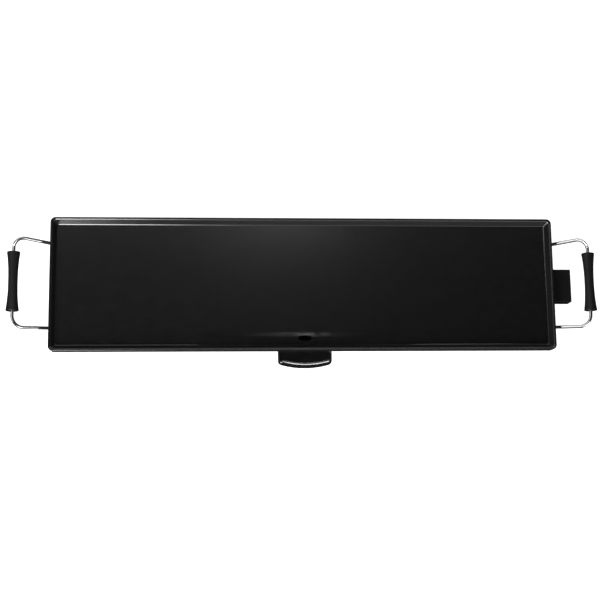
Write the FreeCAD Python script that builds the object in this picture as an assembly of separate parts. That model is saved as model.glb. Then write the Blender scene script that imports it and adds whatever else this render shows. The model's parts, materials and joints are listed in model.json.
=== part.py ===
import FreeCAD, Part
import math
import os

# Long electric griddle: a cast aluminium plate with a raised rim, a drain gutter, a pull-out drip tray,
# a strapped heating element with a plug-in control socket, four legs and two chromed wire handles.
#
# Units are millimetres. X runs along the griddle, +X towards the control socket. -Y is the side with the
# drip tray. +Z is up, and Z = 0 is the table. Parts are drawn about the plate's own centre and saved with
# the origin under the middle of the whole footprint.

Vector = FreeCAD.Vector

# ---- Driving dimensions: plate ----
PLATE_L = 900.0            # over the rim
PLATE_W = 239.0
PLATE_CORNER_R = 9.0
RIM_TOP = 78.0             # height of the rim above the table
RIM_DEPTH = 12.5           # rim above the cooking surface
LIP_W = 4.0                # outer edge to the top of the inner slope
LIP_R = (1.0, 4.0)         # rounding of the lip: its outer edge, and the roll into the inner slope
RIM_W = 11.0               # outer edge to the foot of the inner slope
RIM_FOOT_R = 2.2           # where the inner slope meets the cooking surface
RIM_WALL_T = 3.5
WALL_H = 18.0              # height of the outer wall
PLAN_R = (6.0, 3.2, 5.5)   # corners in plan: top of the inner slope, its foot, and the hollow below
GROOVE_TOP = 6.5           # hollow under the rim, below the rim's top
GROOVE_MARGIN = (2.0, 0.7) # its core's clearance at the foot and at the top
GROOVE_CORE_R = (3.0, 5.0)
PLATE_T = 4.0
SKIN_OVER_HOLE = 1.5       # metal left between a blind hole and the cooking surface
PAD_R = {"leg": 8.0, "strap": 4.5, "sheet": 5.0}    # cast pads for the legs, the straps, the rails and guard
RIB_X = (-270.0, -180.0, -60.0, 60.0, 180.0, 270.0)
RIB_T = 3.0
RIB_H = 3.0
RIB_HEATER_GAP = 9.0       # rib's end from the heater's axis

GUTTER_HALF_L = 190.0      # the gutter deepens from here to the drain hole
GUTTER_DEPTH = 4.5
GUTTER_BACK_Y = -83.0      # top of the gutter's back slope
GUTTER_SLOPE_W = 12.0
GUTTER_STEPS = 8           # points that shape the fall of the gutter's back slope
GUTTER_WALL_T = 4.0
GUTTER_FLAT = 3.0          # level stretch of the gutter past each end of the drain hole
GUTTER_SHALLOW = 0.02      # depth at the gutter's far ends
DRAIN_L = 23.0             # the drain hole is oval
DRAIN_W = 9.0
DRAIN_Y = -95.5
DRAIN_EASE = 1.2           # the drain hole is eased at its top
SPOUT_T = 3.0
SPOUT_DROP = 1.8           # spout below the gutter's own wall

# ---- Driving dimensions: heater and control socket ----
ELEMENT_R = 4.0            # sheathed heater rod
ELEMENT_Y = 55.0           # each long pass from the centre line
ELEMENT_LEFT_X = -395.0
ELEMENT_RIGHT_X = 388.0
ELEMENT_DROP_X = (408.0, 426.0)    # the ends step down to the terminals between these
ELEMENT_SPLIT_X = 402.0    # the two ends are saved as nodes of their own from here on
ELEMENT_BEND_R = (12.0, 20.0, 30.0)    # inside the socket's end, at its corners and at the far corners
ELEMENT_STEP_R = 10.0
CHANNEL_W = 16.0           # cast channel that the heater lies in
TERMINAL_Y = 14.0
TERMINAL_Z = 46.0
TERMINAL_X = 440.5         # end of the heater's sheath
SEAL_L = 5.5
STUB_R = 2.0               # pin where it runs through its seal
PIN_R = 2.5
PIN_END_X = 474.0
PIN_TIP_R = 1.6
PROBE_LUG_X = (394.0, 437.0)
PROBE_LUG_R = 7.5
PROBE_R = 3.6
PROBE_BORE_FLOOR = 4.0     # metal beyond the blind end of the bore

STRAP_X = (-330.0, -120.0, 120.0, 330.0)
STRAP_W = 12.0
STRAP_T = 1.2
STRAP_EAR = 16.5           # strap's half length across the heater
STRAP_HOLE = 11.5          # screw from the heater's axis
STRAP_CORNER_R = 3.0
STRAP_GAP = 0.1            # round the heater

GUARD_BACK_X = 440.0
GUARD_END_X = 486.5        # mouth of the control socket
GUARD_W = 60.0
GUARD_TOP = 59.5
GUARD_BOTTOM = 33.0
GUARD_T = 2.2
GUARD_BACK_T = 2.5
GUARD_EDGE_R = (2.0, 1.5, 0.7)     # outer edges, inner edges and the mouth
HEATER_HOLE_GAP = 0.4      # round each heater end, in the guard's back
PROBE_HOLE_GAP = (1.0, 0.8)        # round the probe's way in: in the guard, in the terminal plate
TERMINAL_PLATE = (1.5, 44.0, 17.0) # thickness, width, height
TERMINAL_PLATE_GAP = 0.2   # in front of the guard's back
TERMINAL_PLATE_R = 3.0     # its corners
FLANGE_X = 423.0
FLANGE_T = 2.5
FLANGE_HALF_W = 26.0
FLANGE_CORNER_R = 4.0
FLANGE_RIB_T = 2.2
FLANGE_RIB_INSET = 6.0     # the rib's ends from the flange's end and from the guard's bottom
LUG_GAP = 0.8              # between the probe lug and the guard
GUARD_SCREW = (431.0, 20.0)
EARTH_RIVET_X = 449.0
EARTH_RIVET_R = 1.5
EARTH_RIVET_HEAD = (2.5, 0.7)      # radius, height
EARTH_STRIP_T = 0.5
EARTH_STRIP_W = 7.0
EARTH_STRIP_BOW = 2.6
EARTH_STRIP_PAD = 3.5      # flat stretch each side of the rivet
EARTH_STRIP_SHORT = 8.0    # strip's end from the guard's mouth

# ---- Driving dimensions: legs and handles ----
LEG_X = 415.0
LEG_Y = 76.0
LEG_TOP = 56.4
LEG_TOP_SIZE = (32.0, 30.0)
LEG_FOOT_SIZE = (23.0, 22.0)
LEG_CORNER_R = 5.0
LEG_WELL_R = 6.0
LEG_WELL_TOP = 38.0
FOOT_H = 4.0
FOOT_R = 10.0
FOOT_STEM_H = 12.0
FOOT_EDGE_R = (1.2, 1.0)   # rounding of the pad and of the stem's top
SEAT_GAP = 0.4             # round the wire's eye in the top of a leg
SLOT_GAP = 0.6             # each side of the wire
SLOT_X = (4.0, 17.0, 30.0) # the slot's start, the end of its taper and its end, from the leg screw
SLOT_TAPER_W = 13.4

WIRE_R = 3.0               # handle wire
WIRE_Z = 55.0              # height of the wire under the plate
WIRE_GAP = 0.2             # below the wire in its slot
WIRE_START_X = LEG_X + 13.0
WIRE_BEND_X = 449.0        # where the wire starts to rise
WIRE_BEND_R = 12.0
WIRE_CORNER_R = 20.0
WIRE_SPREAD = 4.5          # the wire is this much wider at the grip
EYE_R = 7.5                # flattened eye that the leg screw goes through
EYE_T = 3.2
NECK_START = 5.0           # the neck behind the eye, from the leg screw
NECK_OVERLAP = 2.0         # it runs this far into the round wire
NECK_SIZE = ((11.0, 3.2), (5.2, 2.8))      # width and thickness at its two ends
LOCK_WASHER_R = 4.7
WASHER_T = 0.6
LOCK_WASHER_T = 1.2

GRIP_X = 509.5             # grip axis
GRIP_Z = 95.0
GRIP_L = 104.5
GRIP_END_R = 11.7
GRIP_WAIST_R = 8.3
GRIP_FLARE = 2.4           # power of the flare from the waist to the ends
GRIP_EDGE_R = 0.9
GRIP_POINTS = 8            # points that shape the flare, from the waist to an end
GRIP_SCREW = (6.8, 43.0)
GRIP_SCREW_SEAT = 2.6      # below the grip's split
GRIP_SCREW_DEPTH = 4.0     # above the grip's split

# ---- Driving dimensions: drip tray ----
TRAY_OUT = 28.0            # the tray's pull in front of the plate
PULL_W = 96.0
PULL_BULGE = 7.5           # rise of the curved front edge
PULL_TOP = 58.0
PULL_BOTTOM = 40.0
PULL_CORNER_R = 6.0
PULL_SIDE_LIP = 4.6
PULL_FRONT_LIP = 8.6
PULL_LIP_DROP = 1.6
PULL_SHELL_T = 2.3
PULL_EDGE_R = 3.4
PULL_BEHIND = 4.0          # the pull reaches this far behind the plate's front face
PULL_CORNER_EASE = 0.4     # how fast the plan's corner tightens with an inset
PULL_CORNER_MID = 0.25     # middle of the corner's arc, as a share of its radius
PULL_CORNER_DIP = 1.6      # the front edge meets the corner this far forward
PAN_W = 88.0
PAN_FRONT_GAP = 2.0        # plate's front face to the pan
PAN_BACK_Y = -68.0
PAN_TOP = 54.0
PAN_BOTTOM = 32.0
PAN_WALL_T = 1.8
PAN_FLOOR_T = 2.0
PAN_TAPER = 2.0            # each side, from top to bottom
PAN_FLANGE_W = 5.0
PAN_FLANGE_T = 1.8
PAN_CORNER_R = (4.0, 3.0)  # outside, inside
PAN_FLANGE_START = 2.0     # behind the pan's front
RAIL_T = 1.2
RAIL_SEAT = 54.4
RAIL_ENDS = (5.0, 2.0)     # behind the plate's front face, and past the pan's back
RAIL_LEDGE_GAP = 1.0       # between the ledge and the pan's side
RAIL_OUTER_X = 67.0
RAIL_HOLE_TOP = 60.8       # stops short of the gutter above it
RAIL_SIDE_GAP = 0.8
RAIL_GAP = 0.15            # below the tray's flange
RAIL_SCREW_X = 60.0
RAIL_SCREW_Y = (-104.0, -76.0)

# ---- Sizes that follow ----
SURFACE = RIM_TOP - RIM_DEPTH
UNDERSIDE = SURFACE - PLATE_T
WALL_BOTTOM = RIM_TOP - WALL_H
FRONT_Y = -PLATE_W / 2
ELEMENT_Z = UNDERSIDE - ELEMENT_R
EYE_TOP = WIRE_Z + EYE_T / 2
EYE_BOTTOM = WIRE_Z - EYE_T / 2
LEG_BOSS_BOTTOM = EYE_TOP + WASHER_T
SLOT_FLOOR = WIRE_Z - WIRE_R - WIRE_GAP
SPOUT_BOTTOM = SURFACE - GUTTER_DEPTH - GUTTER_WALL_T - SPOUT_DROP
FOOTPRINT_SHIFT = Vector(0, TRAY_OUT / 2, 0)

# ---- Gaps ----
SNUG = 0.05                # radial gap round threads and stems
EASY = 0.15                # radial gap round the shank of a small screw
LOOSE = 0.25               # radial gap round a leg screw
PAST = 1.0                 # how far a cutting shape runs past the face it cuts

# ---- Screws: shank radius, head radius, head height ----
M5 = (2.5, 4.6, 3.2)
M4 = (2.0, 3.7, 2.4)
M25 = (1.25, 2.2, 1.5)
HEAD_EDGE = 0.45           # rounding of a head, as a share of its height
RECESS_ARMS = (0.6, 0.14)  # half length and half width of the cross recess, as shares of the head's radius
RECESS_DEPTH = 0.45        # as a share of the head's height
LEG_SCREW_L = 25.5
STRAP_SCREW_L = 7.0
GUARD_SCREW_L = 6.5
RAIL_SCREW_L = 7.0
GRIP_SCREW_L = 6.0

TOUCH = 0.01               # two heights closer than this are the same height

# ---- Places of repeated parts ----
LEG_PLACES = {
    "front_left": (-LEG_X, -LEG_Y),
    "front_right": (LEG_X, -LEG_Y),
    "rear_left": (-LEG_X, LEG_Y),
    "rear_right": (LEG_X, LEG_Y),
}
STRAP_PLACES = [(x, side * ELEMENT_Y) for side in (1, -1) for x in STRAP_X]
GUARD_SCREW_PLACES = [(GUARD_SCREW[0], side * GUARD_SCREW[1]) for side in (1, -1)]
RAIL_SCREW_PLACES = [(side * RAIL_SCREW_X, y) for side in (1, -1) for y in RAIL_SCREW_Y]
SIDES = (("rear", 1), ("front", -1))

NODES = {}


def add(name, *solids):
    """Keeps a node: one solid, or a group of separate ones."""
    NODES[name] = list(solids)


# ---- Shape helpers ----
def rounded_rectangle(length, width, radius, z, centre=(0.0, 0.0)):
    """Closed wire with round corners, parallel to the table."""
    cx, cy = centre
    hx, hy = length / 2, width / 2
    inset = radius * (1 - math.sqrt(0.5))
    ends = []
    for sx, sy in ((1, 1), (-1, 1), (-1, -1), (1, -1)):
        x, y = cx + sx * hx, cy + sy * hy
        on_side = Vector(x, y - sy * radius, z)
        middle = Vector(x - sx * inset, y - sy * inset, z)
        on_end = Vector(x - sx * radius, y, z)
        ends.append((on_side, middle, on_end) if sx * sy > 0 else (on_end, middle, on_side))
    edges = []
    for (start, middle, end), following in zip(ends, ends[1:] + ends[:1]):
        edges.append(Part.Arc(start, middle, end).toShape())
        edges.append(Part.LineSegment(end, following[0]).toShape())
    return Part.Wire(edges)


def inset_outline(inset, radius, z):
    """The plate's outline, drawn in by an inset."""
    return rounded_rectangle(PLATE_L - 2 * inset, PLATE_W - 2 * inset, radius, z)


def loft(*wires):
    return Part.makeLoft(list(wires), True, True)


def prism(wire, height):
    return Part.Face(wire).extrude(Vector(0, 0, height))


def closed(points):
    return Part.makePolygon(points + points[:1])


def block(x0, x1, y0, y1, z0, z1):
    low = Vector(min(x0, x1), min(y0, y1), min(z0, z1))
    return Part.makeBox(abs(x1 - x0), abs(y1 - y0), abs(z1 - z0), low)


def rod(radius, start, end):
    """Solid cylinder from one point to another."""
    start, end = Vector(*start), Vector(*end)
    run = end - start
    return Part.makeCylinder(radius, run.Length, start, run)


def upright(radius, x, y, z0, z1):
    return rod(radius, (x, y, z0), (x, y, z1))


def ring(outer, inner, x, y, z0, z1):
    return upright(outer, x, y, z0, z1).cut(upright(inner, x, y, z0, z1))


def oval(length, width, z0, z1, y):
    """Upright elliptic prism, longest along X, on the centre of the plate."""
    ellipse = Part.Ellipse(Vector(0, y, z0), length / 2, width / 2)
    return prism(Part.Wire([ellipse.toShape()]), z1 - z0)


def rounded_path(points, radii):
    """Wire through the points, with a tangent arc at each inner point."""
    points = [Vector(*p) for p in points]
    edges, last = [], points[0]
    for before, corner, after, radius in zip(points, points[1:], points[2:], radii):
        back = (before - corner).normalize()
        on = (after - corner).normalize()
        half = back.getAngle(on) / 2
        reach = radius / math.tan(half)
        start, end = corner + back * reach, corner + on * reach
        inward = (back + on).normalize()
        middle = corner + inward * (radius / math.sin(half) - radius)
        edges.append(Part.LineSegment(last, start).toShape())
        edges.append(Part.Arc(start, middle, end).toShape())
        last = end
    edges.append(Part.LineSegment(last, points[-1]).toShape())
    return Part.Wire(edges)


def swept(path, profile):
    return path.makePipeShell([profile], True, False)


def round_bar(path, radius):
    first = path.OrderedEdges[0]
    start = first.valueAt(first.FirstParameter)
    direction = first.tangentAt(first.FirstParameter)
    return swept(path, Part.Wire([Part.Circle(start, direction, radius).toShape()]))


def fillet_at(shape, radius, chosen):
    return shape.makeFillet(radius, [e for e in shape.Edges if chosen(e)])


def at_height(z):
    """Chooses edges that lie level at a height."""
    return lambda e: abs(e.BoundBox.ZMax - z) < TOUCH and abs(e.BoundBox.ZMin - z) < TOUCH


def pan_screw(size, x, y, seat, length):
    """Pan-head screw pointing up: the flat side of its head is at the seat's height."""
    shank_r, head_r, head_h = size
    bottom = seat - head_h
    head = fillet_at(upright(head_r, x, y, bottom, seat), head_h * HEAD_EDGE, at_height(bottom))
    long_arm, short_arm = (head_r * share for share in RECESS_ARMS)
    recess_top = bottom + head_h * RECESS_DEPTH
    for dx, dy in ((long_arm, short_arm), (short_arm, long_arm)):
        head = head.cut(block(x - dx, x + dx, y - dy, y + dy, bottom, recess_top))
    return head.fuse(upright(shank_r, x, y, seat, seat + length)).removeSplitter()


def mirrored_end(shape):
    """The same piece at the griddle's other end."""
    return shape.mirror(Vector(0, 0, 0), Vector(1, 0, 0))


# ---- Griddle plate ----
def dish():
    """Rimmed plate: sloping inside, rounded lip, and hollow under the rim."""
    mouth_r, foot_r, hollow_r = PLAN_R
    level_top = at_height(RIM_TOP)
    mouth_half_l = PLATE_L / 2 - LIP_W + TOUCH
    round_mouth = lambda e: level_top(e) and max(-e.BoundBox.XMin, e.BoundBox.XMax) < mouth_half_l
    outer = prism(inset_outline(0, PLATE_CORNER_R, WALL_BOTTOM), WALL_H)
    outer = fillet_at(outer, LIP_R[0], level_top)
    body = outer.cut(loft(inset_outline(RIM_W, foot_r, SURFACE), inset_outline(LIP_W, mouth_r, RIM_TOP)))
    body = fillet_at(body, LIP_R[1], round_mouth)
    body = fillet_at(body, RIM_FOOT_R, at_height(SURFACE))
    hollow = prism(inset_outline(RIM_WALL_T, hollow_r, WALL_BOTTOM), UNDERSIDE - WALL_BOTTOM)
    return body.cut([hollow, rim_groove()])


def rim_groove():
    """Hollow under the sloping rim, open from below."""
    top = RIM_TOP - GROOVE_TOP
    groove = prism(inset_outline(RIM_WALL_T, PLAN_R[2], UNDERSIDE), top - UNDERSIDE)
    core_foot = inset_outline(RIM_W - GROOVE_MARGIN[0], GROOVE_CORE_R[0], UNDERSIDE)
    core = loft(core_foot, inset_outline(RIM_WALL_T + GROOVE_MARGIN[1], GROOVE_CORE_R[1], top))
    return groove.cut(core)


def gutter_trough(drop, front_y, extra):
    """Trough that falls in an easy S to its flat bottom and deepens towards the drain."""
    back_y = GUTTER_BACK_Y + extra
    open_z = SURFACE + 2 * GUTTER_DEPTH
    top_z = SURFACE - drop
    shares = [i / GUTTER_STEPS for i in range(GUTTER_STEPS + 1)]
    level = Vector(0, -1, 0)

    def section(x, depth):
        fall = Part.BSplineCurve()
        steps = [(t, t * t * (3 - 2 * t)) for t in shares]
        slope = [Vector(x, back_y - t * GUTTER_SLOPE_W, top_z - depth * fallen) for t, fallen in steps]
        fall.interpolate(Points=slope, InitialTangent=level, FinalTangent=level)
        open_back, open_front = Vector(x, back_y, open_z), Vector(x, front_y, open_z)
        foot = Vector(x, front_y, top_z - depth)
        straight = [(slope[-1], foot), (foot, open_front), (open_front, open_back), (open_back, slope[0])]
        return Part.Wire([fall.toShape()] + [Part.LineSegment(a, b).toShape() for a, b in straight])

    reach, flat = GUTTER_HALF_L + extra, DRAIN_L / 2 + GUTTER_FLAT
    ends, middle = GUTTER_SHALLOW, GUTTER_DEPTH
    stations = ((-reach, ends), (-flat, middle), (flat, middle), (reach, ends))
    return loft(*[section(x, depth) for x, depth in stations])


def gutter_wall():
    """Metal under the gutter."""
    trough = gutter_trough(GUTTER_WALL_T, FRONT_Y + RIM_W - SPOUT_T, GUTTER_WALL_T)
    half_l = PLATE_L / 2
    return trough.common(block(-half_l, half_l, FRONT_Y, 0, 0, SURFACE - PAST))


def heater_path(with_ends):
    """Centre line of the heater: from one terminal, round the plate and back."""
    step_x, level_x = ELEMENT_DROP_X
    half = [(step_x, TERMINAL_Y, ELEMENT_Z), (ELEMENT_RIGHT_X, TERMINAL_Y, ELEMENT_Z),
            (ELEMENT_RIGHT_X, ELEMENT_Y, ELEMENT_Z), (ELEMENT_LEFT_X, ELEMENT_Y, ELEMENT_Z)]
    radii = list(ELEMENT_BEND_R)
    if with_ends:
        half = [(TERMINAL_X, TERMINAL_Y, TERMINAL_Z), (level_x, TERMINAL_Y, TERMINAL_Z)] + half
        radii = [ELEMENT_STEP_R, ELEMENT_STEP_R] + radii
    other_half = [(x, -y, z) for x, y, z in reversed(half)]
    return rounded_path(half + other_half, radii + radii[::-1])


def heater_channel():
    """Band cast under the plate, and the half-round groove in it that the heater lies in."""
    path = heater_path(False)
    x, half_w, top = ELEMENT_DROP_X[0], CHANNEL_W / 2, UNDERSIDE + PAST
    low, high = TERMINAL_Y - half_w, TERMINAL_Y + half_w
    corners = [(low, ELEMENT_Z), (high, ELEMENT_Z), (high, top), (low, top)]
    band = swept(path, closed([Vector(x, y, z) for y, z in corners]))
    return band, round_bar(path, ELEMENT_R + SNUG)


def screw_pads():
    """Cast pads that screws go into, and the blind holes in them."""
    pads, holes = [], []
    hole_top = SURFACE - SKIN_OVER_HOLE

    def pad(x, y, radius, bottom, shank_r, top):
        pads.append(upright(radius, x, y, bottom, UNDERSIDE + PAST))
        holes.append(upright(shank_r + SNUG, x, y, bottom, top))

    for x, y in LEG_PLACES.values():
        pad(x, y, PAD_R["leg"], LEG_BOSS_BOTTOM, M5[0], hole_top)
    for x, y in STRAP_PLACES:
        pad(x, y + STRAP_HOLE, PAD_R["strap"], ELEMENT_Z, M4[0], hole_top)
        pad(x, y - STRAP_HOLE, PAD_R["strap"], ELEMENT_Z, M4[0], hole_top)
    for x, y in RAIL_SCREW_PLACES:
        pad(x, y, PAD_R["sheet"], RAIL_SEAT, M4[0], RAIL_HOLE_TOP)
    for x, y in GUARD_SCREW_PLACES:
        pad(x, y, PAD_R["sheet"], GUARD_TOP, M4[0], hole_top)
    return pads, holes


def probe_lug():
    """Cast lug with the blind bore that the control's probe slides into."""
    x0, x1 = PROBE_LUG_X
    lug = rod(PROBE_LUG_R, (x0, 0, TERMINAL_Z), (x1, 0, TERMINAL_Z))
    lug = lug.fuse(block(x0, x1, -PROBE_LUG_R, PROBE_LUG_R, TERMINAL_Z, UNDERSIDE + PAST))
    return lug, rod(PROBE_R, (x0 + PROBE_BORE_FLOOR, 0, TERMINAL_Z), (x1, 0, TERMINAL_Z))


def stiffening_ribs():
    """Shallow ribs across the underside, clear of the heater, the legs and the tray."""
    half_t, inner_y, outer_y = RIB_T / 2, ELEMENT_Y - RIB_HEATER_GAP, ELEMENT_Y + RIB_HEATER_GAP
    spans = ((-inner_y, inner_y), (outer_y, PLATE_W / 2 - RIM_W))
    z0, z1 = UNDERSIDE - RIB_H, UNDERSIDE + PAST
    return [block(x - half_t, x + half_t, y0, y1, z0, z1) for x in RIB_X for y0, y1 in spans]


def drain_ease():
    """Widens the drain hole where it meets the gutter's bottom."""
    bottom = SURFACE - GUTTER_DEPTH

    def rim(grow, z):
        ellipse = Part.Ellipse(Vector(0, DRAIN_Y, z), DRAIN_L / 2 + grow, DRAIN_W / 2 + grow)
        return Part.Wire([ellipse.toShape()])

    return loft(rim(0, bottom - DRAIN_EASE), rim(2 * DRAIN_EASE, bottom + DRAIN_EASE))


def griddle_plate():
    band, groove = heater_channel()
    pads, holes = screw_pads()
    lug, probe_bore = probe_lug()
    spout = oval(DRAIN_L + 2 * SPOUT_T, DRAIN_W + 2 * SPOUT_T, SPOUT_BOTTOM, UNDERSIDE - 2, DRAIN_Y)
    body = dish().fuse([gutter_wall(), band, lug, spout] + pads + stiffening_ribs())
    drain = oval(DRAIN_L, DRAIN_W, SPOUT_BOTTOM - PAST, RIM_TOP, DRAIN_Y).fuse(drain_ease())
    gutter = gutter_trough(0.0, FRONT_Y + RIM_W, 0.0)
    body = body.cut([gutter, drain, groove, probe_bore] + holes)
    add("griddle_plate", body.removeSplitter())


# ---- Heater ----
def heater_end_room(y0, y1):
    """Box round the heater's stepped ends, from one depth to another."""
    return block(ELEMENT_SPLIT_X, GUARD_END_X, y0, y1, GUARD_BOTTOM, RIM_TOP)


def heating_element():
    """Sheathed rod bent into a loop, with a ceramic seal and a contact pin in each end.

    The rod is one length. Its two ends, which step down to the terminals, are saved on their own.
    """
    sheath = round_bar(heater_path(True), ELEMENT_R)
    add("heating_element", sheath.cut(heater_end_room(-ELEMENT_Y, ELEMENT_Y)))
    seal_end = TERMINAL_X + SEAL_L
    for name, side in SIDES:
        add(f"heater_end_{name}", sheath.common(heater_end_room(0, side * ELEMENT_Y)))
        sheath_end = (TERMINAL_X, side * TERMINAL_Y, TERMINAL_Z)
        pin_start = (seal_end, side * TERMINAL_Y, TERMINAL_Z)
        pin_end = (PIN_END_X, side * TERMINAL_Y, TERMINAL_Z)
        seal = rod(ELEMENT_R, sheath_end, pin_start).cut(rod(STUB_R + SNUG, sheath_end, pin_start))
        add(f"terminal_seal_{name}", seal)
        pin = rod(PIN_R, pin_start, pin_end)
        pin = fillet_at(pin, PIN_TIP_R, lambda e: abs(e.CenterOfMass.x - PIN_END_X) < TOUCH)
        add(f"terminal_pin_{name}", pin.fuse(rod(STUB_R, sheath_end, pin_start)).removeSplitter())


def element_straps():
    """Saddle straps over the heater, and the screws through their ears."""
    bore_r = ELEMENT_R + STRAP_GAP
    bottom = ELEMENT_Z - STRAP_T
    screws = []
    for index, (x, y) in enumerate(STRAP_PLACES, start=1):
        x0, x1 = x - STRAP_W / 2, x + STRAP_W / 2
        ears = block(x0, x1, y - STRAP_EAR, y + STRAP_EAR, bottom, ELEMENT_Z)
        saddle = rod(bore_r + STRAP_T, (x0, y, ELEMENT_Z), (x1, y, ELEMENT_Z))
        over = block(x0, x1, y - STRAP_EAR, y + STRAP_EAR, ELEMENT_Z, ELEMENT_Z + 2 * ELEMENT_R)
        strap = ears.fuse(saddle).cut([over, rod(bore_r, (x0, y, ELEMENT_Z), (x1, y, ELEMENT_Z))])
        for hole_y in (y + STRAP_HOLE, y - STRAP_HOLE):
            strap = strap.cut(upright(M4[0] + EASY, x, hole_y, bottom - PAST, ELEMENT_Z + PAST))
            screws.append(pan_screw(M4, x, hole_y, bottom, STRAP_SCREW_L))
        ear_y = (y - STRAP_EAR, y + STRAP_EAR)
        at_end = lambda e: min(abs(e.CenterOfMass.y - ear) for ear in ear_y) < TOUCH
        corner = lambda e: e.BoundBox.ZLength > STRAP_T - TOUCH and at_end(e)
        add(f"element_strap_{index}", fillet_at(strap.removeSplitter(), STRAP_CORNER_R, corner))
    add("strap_screws", *screws)


# ---- Control socket ----
def guard_shell():
    """Open-mouthed box round the pins."""
    half_w = GUARD_W / 2
    shell = block(GUARD_BACK_X, GUARD_END_X, -half_w, half_w, GUARD_BOTTOM, GUARD_TOP)
    lengthwise = lambda e: e.BoundBox.XLength > GUARD_END_X - GUARD_BACK_X - GUARD_BACK_T - PAST
    outer_r, inner_r, mouth_r = GUARD_EDGE_R
    shell = fillet_at(shell, outer_r, lengthwise)
    inner = block(GUARD_BACK_X + GUARD_BACK_T, GUARD_END_X + PAST, -half_w + GUARD_T, half_w - GUARD_T,
                  GUARD_BOTTOM + GUARD_T, GUARD_TOP - GUARD_T)
    shell = shell.cut(fillet_at(inner, inner_r, lengthwise))
    return fillet_at(shell, mouth_r, lambda e: abs(e.CenterOfMass.x - GUARD_END_X) < TOUCH)


def guard_flange():
    """Flange that is screwed under the plate, notched for the probe lug."""
    back = GUARD_BACK_X + GUARD_BACK_T
    flange = block(FLANGE_X, back, -FLANGE_HALF_W, FLANGE_HALF_W, GUARD_TOP - FLANGE_T, GUARD_TOP)
    corner = lambda e: e.BoundBox.ZLength > FLANGE_T - TOUCH and abs(e.CenterOfMass.x - FLANGE_X) < TOUCH
    flange = fillet_at(flange, FLANGE_CORNER_R, corner)
    notch = PROBE_LUG_R + LUG_GAP
    flange = flange.cut(block(FLANGE_X, PROBE_LUG_X[1] + LUG_GAP, -notch, notch, GUARD_BOTTOM, RIM_TOP))
    rib_t = FLANGE_RIB_T
    start_x, end_x = FLANGE_X + FLANGE_RIB_INSET, GUARD_BACK_X + PAST
    rib_top, rib_bottom = GUARD_TOP - PAST, GUARD_BOTTOM + FLANGE_RIB_INSET
    for rib_y in (-FLANGE_HALF_W, FLANGE_HALF_W - rib_t):
        corners = [(start_x, rib_top), (end_x, rib_top), (end_x, rib_bottom)]
        rib = Part.Face(closed([Vector(x, rib_y, z) for x, z in corners]))
        flange = flange.fuse(rib.extrude(Vector(0, rib_t, 0)))
    return flange


def terminal_holes(heater_r, probe_r, x0, x1):
    """Cutters for the heater's two ends and the control's probe."""
    places = ((TERMINAL_Y, heater_r), (-TERMINAL_Y, heater_r), (0.0, probe_r))
    return [rod(radius, (x0, y, TERMINAL_Z), (x1, y, TERMINAL_Z)) for y, radius in places]


def socket_guard():
    """Shroud round the pins, with holes for the pins, the probe, the rivets and its screws."""
    guard = guard_shell().fuse(guard_flange())
    x0, x1 = GUARD_BACK_X - PAST, GUARD_BACK_X + GUARD_BACK_T + PAST
    guard = guard.cut(terminal_holes(ELEMENT_R + HEATER_HOLE_GAP, PROBE_R + PROBE_HOLE_GAP[0], x0, x1))
    for x, y in GUARD_SCREW_PLACES:
        guard = guard.cut(upright(M4[0] + LOOSE, x, y, TERMINAL_Z, RIM_TOP))
    for side in (1, -1):
        guard = guard.cut(earth_rivet_hole(side))
    add("socket_guard", guard.removeSplitter())
    seat = GUARD_TOP - FLANGE_T
    add("guard_screws", *[pan_screw(M4, x, y, seat, GUARD_SCREW_L) for x, y in GUARD_SCREW_PLACES])


def terminal_plate():
    """Steel plate brazed to the heater's two ends, close behind the guard's back wall."""
    thick, width, height = TERMINAL_PLATE
    x1 = GUARD_BACK_X - TERMINAL_PLATE_GAP
    x0 = x1 - thick
    z0, z1 = TERMINAL_Z - height / 2, TERMINAL_Z + height / 2
    plate = block(x0, x1, -width / 2, width / 2, z0, z1)
    plate = fillet_at(plate, TERMINAL_PLATE_R, lambda e: e.BoundBox.XLength > thick - TOUCH)
    holes = terminal_holes(ELEMENT_R + SNUG, PROBE_R + PROBE_HOLE_GAP[1], x0 - PAST, x1 + PAST)
    add("terminal_plate", plate.cut(holes))


def across_guard(radius, side, inner_y, outer_y):
    """Rod across one side wall of the guard, at the earth rivet's place."""
    inner_end = (EARTH_RIVET_X, side * inner_y, TERMINAL_Z)
    return rod(radius, inner_end, (EARTH_RIVET_X, side * outer_y, TERMINAL_Z))


def earth_rivet_hole(side):
    outside = GUARD_W / 2
    return across_guard(EARTH_RIVET_R + SNUG, side, outside - GUARD_T - PAST, outside + PAST)


def earth_strip(side, outer_y):
    """Spring strip that bows away from the guard's wall, with its rivet hole."""
    width, bow, pad = EARTH_STRIP_W, EARTH_STRIP_BOW, EARTH_STRIP_PAD
    x0, flat_end, x1 = EARTH_RIVET_X - pad, EARTH_RIVET_X + pad, GUARD_END_X - EARTH_STRIP_SHORT
    middle_x = (flat_end + x1) / 2
    inner_y = outer_y - EARTH_STRIP_T

    def at(x, y):
        return Vector(x, side * y, TERMINAL_Z - width / 2)

    curves = [
        Part.LineSegment(at(x0, outer_y), at(flat_end, outer_y)),
        Part.Arc(at(flat_end, outer_y), at(middle_x, outer_y - bow), at(x1, outer_y)),
        Part.LineSegment(at(x1, outer_y), at(x1, inner_y)),
        Part.Arc(at(x1, inner_y), at(middle_x, inner_y - bow), at(flat_end, inner_y)),
        Part.LineSegment(at(flat_end, inner_y), at(x0, inner_y)),
        Part.LineSegment(at(x0, inner_y), at(x0, outer_y)),
    ]
    strip = Part.Face(Part.Wire([c.toShape() for c in curves])).extrude(Vector(0, 0, width))
    return strip.cut(earth_rivet_hole(side))


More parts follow.
